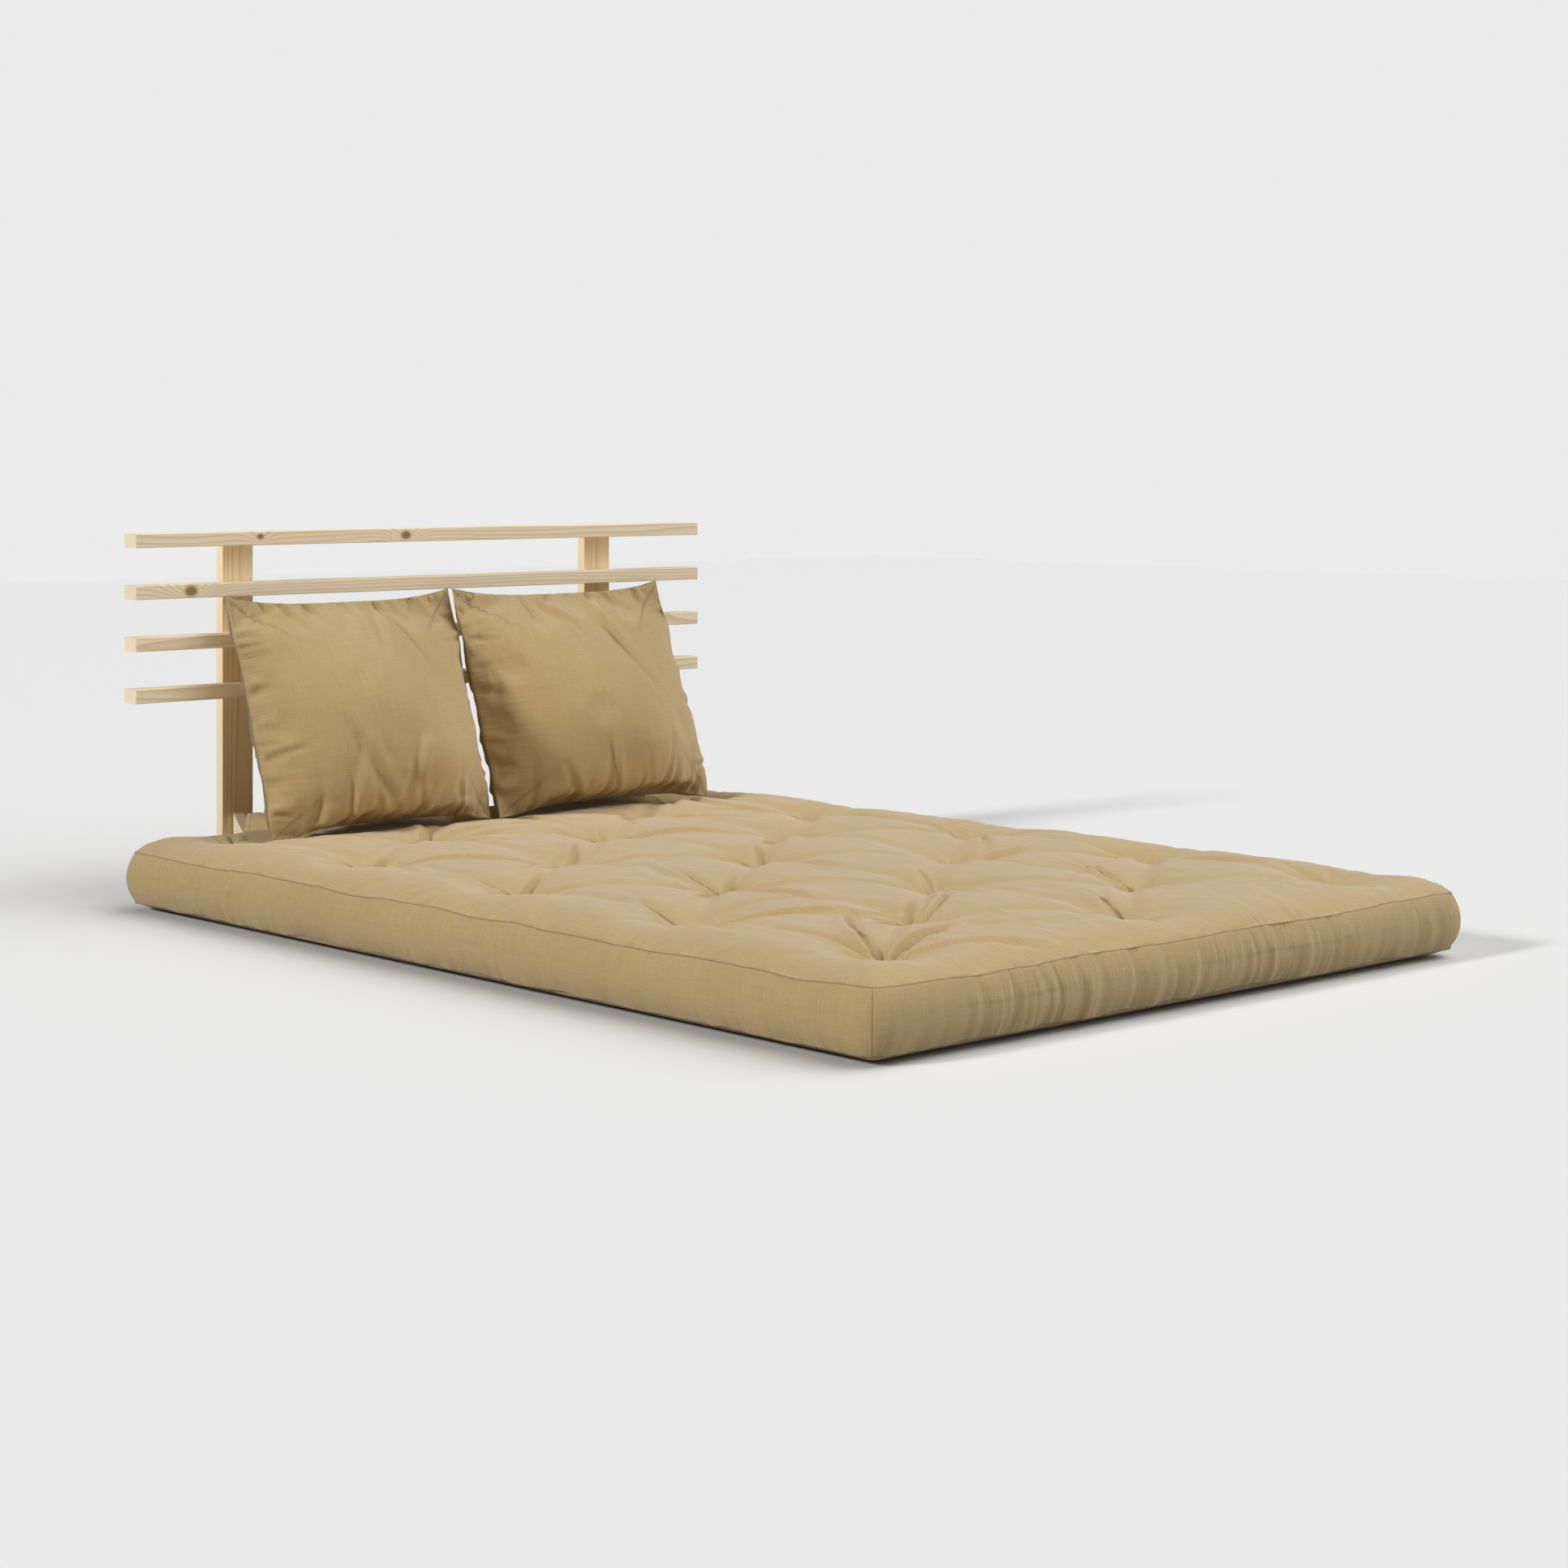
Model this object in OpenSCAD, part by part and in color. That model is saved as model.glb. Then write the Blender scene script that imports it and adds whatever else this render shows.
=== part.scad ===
// Futon sofa bed: a slatted pine backrest with two cushions, and a double mattress that lies on the
// floor in front of it. The mattress folds in half at its middle, foot end up and over, to make the
// seat. It is drawn flat, as a bed. Millimetres, +Z up, foot end towards -Y, backrest towards +Y.

/* [Backrest] */
// Length of each slat, which is the width of the backrest
slat_len = 1400; // [1200:10:1600]
// Depth of a slat, front to back
slat_depth = 43; // [30:1:50]
// Height of a slat
slat_h = 27; // [20:1:35]
// Distance from one slat to the next, middle to middle
slat_pitch = 98; // [70:1:110]
// Number of slats
slat_count = 4; // [4:1:4]
// Height of the top of the backrest above the floor
back_h = 700; // [620:5:800]
// Width of a post
post_w = 70; // [50:1:90]
// Thickness of a post and of a foot board
board_t = 22; // [18:1:28]
// Distance from the end of a slat to the post's outer edge
post_inset = 215; // [100:5:300]
// Length of a foot board, under the mattress
foot_len = 640; // [400:10:800]
// Radius along the edges of the slats and boards
wood_edge_r = 2; // [1:0.5:4]

/* [Braces] */
// Thickness of a diagonal brace, side to side
brace_w = 24; // [18:1:32]
// Depth of a brace, square to its length
brace_depth = 40; // [30:1:50]
// Height of a brace's upper corner above the floor
brace_top = 154; // [130:1:170]

/* [Screws] */
// Diameter of the slat and brace screws
screw_d = 5; // [4:0.5:6]
// Diameter of the screws that hold the feet
foot_screw_d = 7; // [6:0.5:8]
// Length of a slat screw
slat_screw_len = 50; // [40:1:55]
// Length of a brace screw
brace_screw_len = 40; // [35:1:42]
// Length of a foot screw
foot_screw_len = 70; // [50:1:90]

/* [Mattress] */
// Width of the mattress across its bulging sides
mattress_w = 1420; // [1300:10:1500]
// Length of the mattress with its bulging ends
mattress_len = 2020; // [1900:10:2100]
// Thickness of the mattress at its crown
mattress_h = 140; // [130:2:160]
// Sideways distance from the middle of the backrest to the middle of the mattress
mattress_shift = 42; // [0:1:60]
// Gap between the slats and the mattress's head end
head_gap = 15; // [5:1:40]
// Radius of the mattress's corners, seen from above
corner_r = 40; // [35:1:60]
// Radius of the mattress's upper and lower edges
edge_r = 28; // [15:1:34]
// Thickness of the mattress cover
cover_t = 3; // [2:0.5:4]
// Thickness of each layer of cotton
cotton_t = 34; // [25:1:45]

/* [Tufting] */
// Distance between the columns of tufts
tuft_pitch_x = 270; // [240:5:290]
// Distance between the tufts of one column
tuft_pitch_y = 430; // [400:5:450]
// Diameter of a tuft's tie
tie_d = 4; // [2:0.5:5]

/* [Cushions] */
// Width of a cushion
cushion_w = 548; // [500:2:560]
// Height of a cushion
cushion_h = 490; // [440:5:540]
// Thickness of a cushion at its middle
cushion_t = 210; // [150:5:220]
// Gap between the two cushions
cushion_gap = 6; // [2:1:40]
// Sideways distance from the middle of the backrest to the middle of the gap
cushion_shift = 14; // [0:1:60]
// Distance from the slats' front to the cushions' lower edge
cushion_forward = 215; // [205:5:240]
// Lean of the cushions from the vertical, in degrees
cushion_lean = 21.5; // [18:0.5:23]
// Depth that the cushions sink into the mattress
cushion_sink = 18; // [10:1:20]

/* [Hidden] */
$fn = 48;

eps = 0.5;
pine = [0.90, 0.81, 0.63];
steel = [0.70, 0.70, 0.72];
canvas = [0.76, 0.66, 0.46];
cotton = [0.95, 0.93, 0.88];
foam = [0.96, 0.90, 0.70];
thread = [0.60, 0.52, 0.36];

// Construction frame: x = 0 in the middle of the backrest, y = 0 at the slats' front faces.
post_x = slat_len / 2 - post_inset - post_w / 2;
post_front_y = slat_depth;
post_back_y = post_front_y + board_t;

// Screws
head_ratio = 2;
head_h_ratio = 0.5;
socket_ratio = 0.8;
socket_depth = 2;
clearance_d = 0.5;
thread_bite_d = 0.2;
foot_screw_spacing = 36;

// Braces run at 45 degrees, so rise equals run.
brace_run = brace_top - board_t;
brace_cut = brace_depth * sqrt(2);
brace_toe_y = post_front_y - brace_run;
brace_screw_z = brace_top - brace_cut / 2;
brace_screw_y = brace_toe_y + brace_cut / 2;

// Mattress: the middle, the fold and what is left clear inside the cover
mattress_rear_y = -head_gap;
mattress_x = -mattress_shift;
fold_y = mattress_rear_y - mattress_len / 2;
fold_gap = 2;
relief_clear = 2;
layer_gap = 0.5;
layer_inset = cover_t + layer_gap;
cotton_low_z = layer_inset + cotton_t;
cotton_high_z = mattress_h - layer_inset - cotton_t;
tie_hole_d = tie_d + 1;

// Cushions: round corners, a fat middle, and the dent that their weight makes in the mattress
cushion_corner_r = 9;
cushion_body = 0.38;
cushion_cover_t = 2;
cushion_rest_gap = 1;
cushion_edge_z = mattress_h - cushion_sink + cushion_rest_gap + cushion_corner_r;
dent_r = 260;
dent_len = 2 * cushion_w + cushion_gap + 40;

// The object's own origin is at the middle of its base.
low_x = min(-slat_len / 2, mattress_x - mattress_w / 2);
high_x = max(slat_len / 2, mattress_x + mattress_w / 2);
origin_x = (low_x + high_x) / 2;
origin_y = (mattress_rear_y - mattress_len + post_back_y) / 2;

module at_origin() {
    translate([-origin_x, -origin_y, 0])
        children();
}

module rounded_rect(w, h, r) {
    square([w - 2 * r, h], center = true);
    square([w, h - 2 * r], center = true);
    for (sx = [-1, 1], sy = [-1, 1])
        translate([sx * (w / 2 - r), sy * (h / 2 - r)])
            circle(r);
}

// A bar of rounded section along X, standing on z = 0 with its front face at y = 0
module bar_along_x(length, depth, height) {
    translate([-length / 2, depth / 2, height / 2])
        rotate([90, 0, 90])
            linear_extrude(length)
                rounded_rect(depth, height, wood_edge_r);
}

// A countersunk screw pointing along -Y, with the top of its head at the origin
module screw(d, length) {
    head_d = head_ratio * d;
    head_h = head_h_ratio * d;
    rotate([90, 0, 0])
        difference() {
            union() {
                cylinder(d1 = head_d, d2 = d, h = head_h);
                cylinder(d = d, h = length - d);
                translate([0, 0, length - d])
                    cylinder(d1 = d, d2 = d / 5, h = d);
            }
            translate([0, 0, -eps])
                cylinder(d = socket_ratio * d, h = socket_depth + eps, $fn = 6);
        }
}

// The countersunk clearance hole for a screw, through a board
module screw_hole(d) {
    head_d = head_ratio * d + clearance_d;
    head_h = head_h_ratio * d;
    rotate([90, 0, 0]) {
        translate([0, 0, -eps])
            cylinder(d = d + clearance_d, h = board_t + 2 * eps);
        cylinder(d1 = head_d, d2 = d + clearance_d, h = head_h);
        translate([0, 0, -eps])
            cylinder(d = head_d, h = eps);
    }
}

// The pilot hole that the screw's thread bites into
module pilot_hole(d, length) {
    rotate([90, 0, 0])
        translate([0, 0, board_t - eps])
            cylinder(d = d - thread_bite_d, h = length - board_t + 2 * eps);
}

function slat_z(i) = back_h - slat_h / 2 - (i - 1) * slat_pitch;

module at_slat_screws(i) {
    for (side = [-1, 1])
        translate([side * post_x, post_back_y, slat_z(i)])
            children();
}

module at_foot_screws(side) {
    for (s = [-1, 1])
        translate([side * post_x + s * foot_screw_spacing / 2, post_back_y, board_t / 2])
            children();
}

module at_brace_screw_top(side) {
    translate([side * post_x, post_back_y, brace_screw_z])
        children();
}

module at_brace_screw_foot(side) {
    translate([side * post_x, brace_screw_y, 0])
        rotate([-90, 0, 0])
            children();
}

module slat(i) {
    color(pine) at_origin()
        difference() {
            translate([0, 0, slat_z(i) - slat_h / 2])
                bar_along_x(slat_len, slat_depth, slat_h);
            at_slat_screws(i)
                pilot_hole(screw_d, slat_screw_len);
        }
}

module post(side) {
    color(pine) at_origin()
        difference() {
            translate([side * post_x, post_front_y + board_t / 2, 0])
                linear_extrude(back_h)
                    rounded_rect(post_w, board_t, wood_edge_r);
            for (i = [1 : slat_count])
                at_slat_screws(i)
                    screw_hole(screw_d);
            at_foot_screws(side)
                screw_hole(foot_screw_d);
            at_brace_screw_top(side)
                screw_hole(screw_d);
        }
}

module foot(side) {
    color(pine) at_origin()
        difference() {
            translate([side * post_x, post_front_y, board_t / 2])
                rotate([90, 0, 0])
                    linear_extrude(foot_len)
                        rounded_rect(post_w, board_t, wood_edge_r);
            at_foot_screws(side)
                pilot_hole(foot_screw_d, foot_screw_len);
            at_brace_screw_foot(side)
                screw_hole(screw_d);
        }
}

module brace(side) {
    outline = [
        [post_front_y, brace_top],
        [post_front_y, brace_top - brace_cut],
        [brace_toe_y + brace_cut, board_t],
        [brace_toe_y, board_t]
    ];
    color(pine) at_origin()
        difference() {
            translate([side * post_x - brace_w / 2, 0, 0])
                rotate([90, 0, 90])
                    linear_extrude(brace_w)
                        polygon(outline);
            at_brace_screw_top(side)
                pilot_hole(screw_d, brace_screw_len);
            at_brace_screw_foot(side)
                pilot_hole(screw_d, brace_screw_len);
        }
}

module slat_screws() {
    color(steel) at_origin()
        for (i = [1 : slat_count])
            at_slat_screws(i)
                screw(screw_d, slat_screw_len);
}

module foot_screws() {
    color(steel) at_origin()
        for (side = [-1, 1])
            at_foot_screws(side)
                screw(foot_screw_d, foot_screw_len);
}

module brace_screws() {
    color(steel) at_origin()
        for (side = [-1, 1]) {
            at_brace_screw_top(side)
                screw(screw_d, brace_screw_len);
            at_brace_screw_foot(side)
                screw(screw_d, brace_screw_len);
        }
}

// The whole mattress as a block with round edges, made smaller by inset on every side
module mattress_block(inset) {
    w = mattress_w - 2 * inset;
    len = mattress_len - 2 * inset;
    h = mattress_h - 2 * inset;
    r = edge_r - inset;
    translate([mattress_x, fold_y, mattress_h / 2])
        intersection() {
            translate([0, 0, -mattress_h / 2])
                linear_extrude(mattress_h)
                    rounded_rect(w, len, corner_r - inset);
            rotate([90, 0, 90])
                translate([0, 0, -mattress_w / 2])
                    linear_extrude(mattress_w)
                        rounded_rect(len, h, r);
            rotate([90, 0, 0])
                translate([0, 0, -mattress_len / 2])
                    linear_extrude(mattress_len)
                        rounded_rect(w, h, r);
        }
}

// One half of the mattress: side is 1 for the rear half, -1 for the front half
module half_block(side, inset) {
    size_y = mattress_len / 2;
    start = fold_gap / 2 + inset;
    intersection() {
        mattress_block(inset);
        translate([mattress_x - mattress_w / 2, fold_y + (side > 0 ? start : -start - size_y), 0])
            cube([mattress_w, size_y, mattress_h]);
    }
}

// The space that one foot board and its brace press out of the mattress
module frame_relief(side, grow) {
    g = relief_clear + grow;
    foot_w = post_w + 2 * g;
    run = brace_top + g * sqrt(2);
    translate([side * post_x - foot_w / 2, post_front_y - foot_len - g, -eps])
        cube([foot_w, foot_len + g, board_t + g + eps]);
    translate([side * post_x - brace_w / 2 - g, post_front_y, 0])
        rotate([90, 0, 90])
            linear_extrude(brace_w + 2 * g)
                polygon([[0, 0], [0, run], [-run, 0]]);
}

// The trough that the cushions' weight presses into the mattress
module cushion_dent(grow) {
    translate([
        cushion_shift - dent_len / 2 - grow,
        -cushion_forward,
        mattress_h - cushion_sink + dent_r
    ])
        rotate([0, 90, 0])
            cylinder(r = dent_r + grow, h = dent_len + 2 * grow, $fn = 120);
}

module rear_block(inset) {
    difference() {
        half_block(1, inset);
        for (side = [-1, 1])
            frame_relief(side, inset);
        cushion_dent(inset);
    }
}

module mattress_form(side, inset) {
    if (side > 0)
        rear_block(inset);
    else
        half_block(side, inset);
}

module mattress_cover(side) {
    color(canvas) at_origin()
        difference() {
            mattress_form(side, 0);
            mattress_form(side, cover_t);
        }
}

// Tufts stand in a staggered grid: outer and middle columns in step, the two between them half a
// pitch out. The row on the fold has no tie of its own in either half.
module at_tufts(side) {
    for (column = [-2 : 2], row = [0 : 2]) {
        y = (column % 2 == 0 ? row : row + 0.5) * tuft_pitch_y;
        if (y > 0 && y < mattress_len / 2 - corner_r)
            translate([mattress_x + column * tuft_pitch_x, fold_y + side * y, 0])
                children();
    }
}

// One layer of the filling, from height low to height high
module layer(side, low, high) {
    difference() {
        intersection() {
            mattress_form(side, layer_inset);
            translate([mattress_x - mattress_w / 2, fold_y - mattress_len / 2, low])
                cube([mattress_w, mattress_len, high - low]);
        }
        at_tufts(side)
            cylinder(d = tie_hole_d, h = mattress_h);
    }
}

module cotton_bottom(side) {
    color(cotton) at_origin()
        layer(side, layer_inset, cotton_low_z - layer_gap);
}

module foam_core(side) {
    color(foam) at_origin()
        layer(side, cotton_low_z, cotton_high_z);
}

module cotton_top(side) {
    color(cotton) at_origin()
        layer(side, cotton_high_z + layer_gap, mattress_h - layer_inset);
}

module tuft_ties(side) {
    color(thread) at_origin()
        intersection() {
            mattress_form(side, cover_t + layer_gap / 2);
            at_tufts(side)
                cylinder(d = tie_d, h = mattress_h);
        }
}

// A cushion standing on its lower edge: pinched corners and a fat middle, smaller by inset
module cushion_form(inset) {
    corner_x = cushion_w / 2 - cushion_corner_r;
    corner_z = cushion_h - 2 * cushion_corner_r;
    half_size = [cushion_body * cushion_w, cushion_t / 2, cushion_body * cushion_h];
    hull() {
        for (sx = [-1, 1], z = [0, corner_z])
            translate([sx * corner_x, 0, z])
                sphere(cushion_corner_r - inset, $fn = 24);
        translate([0, 0, corner_z / 2])
            scale(half_size - [inset, inset, inset])
                sphere(1, $fn = 36);
    }
}

module at_cushion(side) {
    x = cushion_shift + side * (cushion_w + cushion_gap) / 2;
    translate([x, -cushion_forward, cushion_edge_z])
        rotate([-cushion_lean, 0, 0])
            children();
}

module cushion_cover(side) {
    color(canvas) at_origin()
        at_cushion(side)
            difference() {
                cushion_form(0);
                cushion_form(cushion_cover_t);
            }
}

module cushion_filling(side) {
    color(cotton) at_origin()
        at_cushion(side)
            cushion_form(cushion_cover_t + layer_gap);
}

slat(1);  // slat_1
slat(2);  // slat_2
slat(3);  // slat_3
slat(4);  // slat_4
post(-1);  // post_left
post(1);  // post_right
foot(-1);  // foot_left
foot(1);  // foot_right
brace(-1);  // brace_left
brace(1);  // brace_right
slat_screws();
foot_screws();
brace_screws();
mattress_cover(1);  // mattress_cover_rear
cotton_top(1);  // cotton_top_rear
foam_core(1);  // foam_core_rear
cotton_bottom(1);  // cotton_bottom_rear
tuft_ties(1);  // tuft_ties_rear
mattress_cover(-1);  // mattress_cover_front
cotton_top(-1);  // cotton_top_front
foam_core(-1);  // foam_core_front
cotton_bottom(-1);  // cotton_bottom_front
tuft_ties(-1);  // tuft_ties_front
cushion_cover(-1);  // cushion_cover_left
cushion_filling(-1);  // cushion_filling_left
cushion_cover(1);  // cushion_cover_right
cushion_filling(1);  // cushion_filling_right
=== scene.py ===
import math

import bpy
import numpy as np
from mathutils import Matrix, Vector


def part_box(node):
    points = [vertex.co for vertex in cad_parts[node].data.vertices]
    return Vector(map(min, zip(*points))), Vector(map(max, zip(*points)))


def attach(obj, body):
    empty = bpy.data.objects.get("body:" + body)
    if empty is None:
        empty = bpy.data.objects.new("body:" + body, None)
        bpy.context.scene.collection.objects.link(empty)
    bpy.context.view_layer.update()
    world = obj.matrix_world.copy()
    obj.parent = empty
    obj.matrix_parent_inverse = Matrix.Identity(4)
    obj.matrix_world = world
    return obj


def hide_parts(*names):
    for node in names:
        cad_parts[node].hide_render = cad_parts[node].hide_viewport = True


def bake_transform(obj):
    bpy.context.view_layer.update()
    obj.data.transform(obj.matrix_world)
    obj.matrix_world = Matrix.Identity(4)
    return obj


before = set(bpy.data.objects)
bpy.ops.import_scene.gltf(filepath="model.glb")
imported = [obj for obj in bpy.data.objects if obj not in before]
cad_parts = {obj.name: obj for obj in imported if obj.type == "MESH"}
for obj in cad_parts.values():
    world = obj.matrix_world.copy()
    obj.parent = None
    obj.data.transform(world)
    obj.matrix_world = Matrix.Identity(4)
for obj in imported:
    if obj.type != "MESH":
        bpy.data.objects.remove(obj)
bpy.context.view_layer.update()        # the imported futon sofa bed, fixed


# ---------------------------------------------------------------- camera and light

FLOOR_REACH = 14.0
SEEN_BACKGROUND = 0.84                 # how bright the camera sees the empty studio
SKY_TOWARDS = (0.55, -0.38, 0.744)     # the middle of the wide soft light
SKY_FOCUS = 5.0                        # higher narrows the wide light
SKY_PEAK, SKY_BASE = 3.35, 0.06
KEY_TOWARDS, KEY_STRENGTH, KEY_SPREAD = (-0.90, 0.12, 0.42), 2.2, 9


def add_camera():
    """Eye-level view over the left foot corner, with the shift that keeps the posts upright."""
    data = bpy.data.cameras.new("camera")
    data.sensor_width = 36.0
    data.lens = 68.7
    data.shift_y = -0.21
    data.clip_end = 60.0
    camera = bpy.data.objects.new("camera", data)
    camera.location = (-3.595, -3.985, 0.849)
    camera.rotation_euler = (math.radians(90), 0, math.radians(-42.66))
    bpy.context.scene.collection.objects.link(camera)
    bpy.context.scene.camera = camera


def add_sun(towards, strength, spread):
    """A distant lamp; towards points from the object to it, spread is how wide it looks in degrees."""
    data = bpy.data.lights.new("key", "SUN")
    data.energy = strength
    data.angle = math.radians(spread)
    light = bpy.data.objects.new("key", data)
    light.location = 5 * Vector(towards)
    light.rotation_euler = Vector(towards).to_track_quat("Z", "Y").to_euler()
    bpy.context.scene.collection.objects.link(light)


def add_stage():
    """A pale floor that bounces less light than it shows, a wide soft light from above, and a key
    light from the left that grazes the cushions. The camera sees an even pale background."""
    mesh = bpy.data.meshes.new("floor")
    far = FLOOR_REACH
    mesh.from_pydata([(-far, -far, 0), (far, -far, 0), (far, far, 0), (-far, far, 0)], [],
                     [(0, 1, 2, 3)])
    floor = bpy.data.objects.new("floor", mesh)
    floor.location = (0, 0, -0.0005)
    bpy.context.scene.collection.objects.link(floor)
    material = bpy.data.materials.new("pale_floor")
    material.use_nodes = True
    shader = material.node_tree.nodes["Principled BSDF"]
    seen = node(material.node_tree, "LightPath").outputs["Is Camera Ray"]
    pale = grey_ramp(material.node_tree, seen, 0.0, 1.0, 0.42, 0.78)
    material.node_tree.links.new(pale, shader.inputs["Base Color"])
    shader.inputs["Roughness"].default_value = 0.9
    mesh.materials.append(material)

    world = bpy.data.worlds.new("studio")
    world.use_nodes = True
    tree = world.node_tree
    background = tree.nodes["Background"]
    background.inputs["Color"].default_value = (1, 1, 1, 1)
    towards = node(tree, "TexCoord").outputs["Generated"]
    facing = node(tree, "VectorMath", {0: towards, 1: SKY_TOWARDS}, operation="DOT_PRODUCT")
    ahead = math_node(tree, "MAXIMUM", facing.outputs["Value"], 0.0)
    lobe = math_node(tree, "POWER", ahead, SKY_FOCUS)
    sky = math_node(tree, "MULTIPLY_ADD", lobe, SKY_PEAK, SKY_BASE)
    seen = node(tree, "LightPath").outputs["Is Camera Ray"]
    unseen = math_node(tree, "SUBTRACT", 1.0, seen)
    lit = math_node(tree, "MULTIPLY", sky, unseen)
    strength = math_node(tree, "MULTIPLY_ADD", seen, SEEN_BACKGROUND, lit)
    tree.links.new(strength, background.inputs["Strength"])
    bpy.context.scene.world = world
    add_sun(KEY_TOWARDS, KEY_STRENGTH, KEY_SPREAD)


# ---------------------------------------------------------------- material helpers

def new_material(name):
    material = bpy.data.materials.new(name)
    material.use_nodes = True
    tree = material.node_tree
    return material, tree, tree.nodes["Principled BSDF"]


def node(tree, kind, inputs=None, **settings):
    """A shader node with its settings, its inputs given as values or as other nodes' outputs."""
    made = tree.nodes.new("ShaderNode" + kind)
    for key, value in settings.items():
        setattr(made, key, value)
    for key, value in (inputs or {}).items():
        if isinstance(value, bpy.types.NodeSocket):
            tree.links.new(value, made.inputs[key])
        else:
            made.inputs[key].default_value = value
    return made


def math_node(tree, operation, a, b=0.0, c=0.0):
    made = node(tree, "Math", {0: a, 1: b, 2: c}, operation=operation)
    return made.outputs[0]


def ramp(tree, factor, stops):
    """A colour ramp; stops are (position, colour)."""
    made = node(tree, "ValToRGB", {"Fac": factor})
    while len(made.color_ramp.elements) < len(stops):
        made.color_ramp.elements.new(0.5)
    for element, (position, colour) in zip(made.color_ramp.elements, stops):
        element.position = position
        element.color = (*colour, 1) if len(colour) == 3 else (colour[0],) * 3 + (1,)
    return made.outputs["Color"]


def grey_ramp(tree, factor, low, high, start=0.0, end=1.0):
    made = node(tree, "MapRange", {"Value": factor, "From Min": low, "From Max": high,
                                   "To Min": start, "To Max": end})
    return made.outputs["Result"]


def mix_colour(tree, factor, a, b, blend="MIX"):
    made = node(tree, "Mix", data_type="RGBA", blend_type=blend)
    for key, value in ((0, factor), (6, a), (7, b)):
        if isinstance(value, bpy.types.NodeSocket):
            tree.links.new(value, made.inputs[key])
        else:
            made.inputs[key].default_value = (*value, 1) if isinstance(value, tuple) else value
    return made.outputs[2]


def scaled(tree, vector, scale, offset=(0, 0, 0)):
    return node(tree, "Mapping", {"Vector": vector, "Scale": scale, "Location": offset}).outputs[0]


# ---------------------------------------------------------------- materials

CANVAS = (0.462, 0.328, 0.152)
THREAD_PITCH = 0.0016


def canvas_material(name, seed=0.0):
    """Plain-weave cotton canvas with slubs: the weave runs along the piece's own cloth coordinates.
    Painted shade darkens it along the seams.
    """
    material, tree, shader = new_material(name)
    cloth = node(tree, "Attribute", attribute_name="cloth").outputs["Vector"]
    shift = (seed, seed * 0.37, 0)
    warp = node(tree, "TexNoise", {"Vector": scaled(tree, cloth, (18, 520, 1), shift), "Scale": 1.0,
                                   "Detail": 3.0, "Roughness": 0.6}).outputs["Fac"]
    weft = node(tree, "TexNoise", {"Vector": scaled(tree, cloth, (520, 18, 1), shift), "Scale": 1.0,
                                   "Detail": 3.0, "Roughness": 0.6}).outputs["Fac"]
    blotch = node(tree, "TexNoise", {"Vector": scaled(tree, cloth, (5, 5, 1), shift), "Scale": 1.0,
                                     "Detail": 4.0}).outputs["Fac"]
    threads = math_node(tree, "ADD", warp, weft)
    tone = grey_ramp(tree, threads, 0.7, 1.3, 0.90, 1.10)
    patch = grey_ramp(tree, blotch, 0.3, 0.7, 0.97, 1.03)
    value = math_node(tree, "MULTIPLY", tone, patch)
    # Painted shade: along the seams the cloth colour is darkened to half, standing in for the shadow
    # in the sewn groove.
    seam = node(tree, "Attribute", attribute_name="seam").outputs["Fac"]
    shade = grey_ramp(tree, seam, 0.0, 1.0, 1.0, 0.5)
    value = math_node(tree, "MULTIPLY", value, shade)
    grey = node(tree, "CombineColor", {0: value, 1: value, 2: value}).outputs[0]
    colour = mix_colour(tree, 1.0, CANVAS, grey, "MULTIPLY")
    tree.links.new(colour, shader.inputs["Base Color"])

    pitch = 2 * math.pi / THREAD_PITCH
    split = node(tree, "SeparateXYZ", {0: cloth})
    across = math_node(tree, "SINE", math_node(tree, "MULTIPLY", split.outputs[0], pitch))
    along = math_node(tree, "SINE", math_node(tree, "MULTIPLY", split.outputs[1], pitch))
    weave = math_node(tree, "MULTIPLY", across, along)
    rib = node(tree, "Attribute", attribute_name="rib").outputs["Vector"]
    gather = node(tree, "Attribute", attribute_name="gather").outputs["Fac"]
    fold = node(tree, "TexNoise", {"Vector": scaled(tree, rib, (75, 75, 7), shift), "Scale": 1.0,
                                   "Detail": 2.0, "Roughness": 0.5}).outputs["Fac"]
    gathers = node(tree, "Bump", {"Height": math_node(tree, "MULTIPLY", fold, gather),
                                  "Strength": 1.0, "Distance": 0.0045})
    height = math_node(tree, "ADD", math_node(tree, "MULTIPLY", weave, 0.25), threads)
    bump = node(tree, "Bump", {"Height": height, "Strength": 0.35, "Distance": 0.0005,
                               "Normal": gathers.outputs[0]})
    tree.links.new(bump.outputs[0], shader.inputs["Normal"])
    rough = grey_ramp(tree, threads, 0.6, 1.4, 0.82, 0.95)
    tree.links.new(rough, shader.inputs["Roughness"])
    shader.inputs["Specular IOR Level"].default_value = 0.25
    shader.inputs["Sheen Weight"].default_value = 0.26
    shader.inputs["Sheen Roughness"].default_value = 0.5
    return material


RING_SPACING = 0.0042


def squared_to_knot(tree, split, along, knot, squeeze):
    """Squared distance to a knot's centre; squeeze shortens it along the board."""
    centre, _, side = knot
    ahead = math_node(tree, "SUBTRACT", split[along], centre[0])
    ahead = math_node(tree, "MULTIPLY", ahead, squeeze)
    beside = math_node(tree, "SUBTRACT", split[side], centre[1])
    return math_node(tree, "ADD", math_node(tree, "MULTIPLY", ahead, ahead),
                     math_node(tree, "MULTIPLY", beside, beside))


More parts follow.
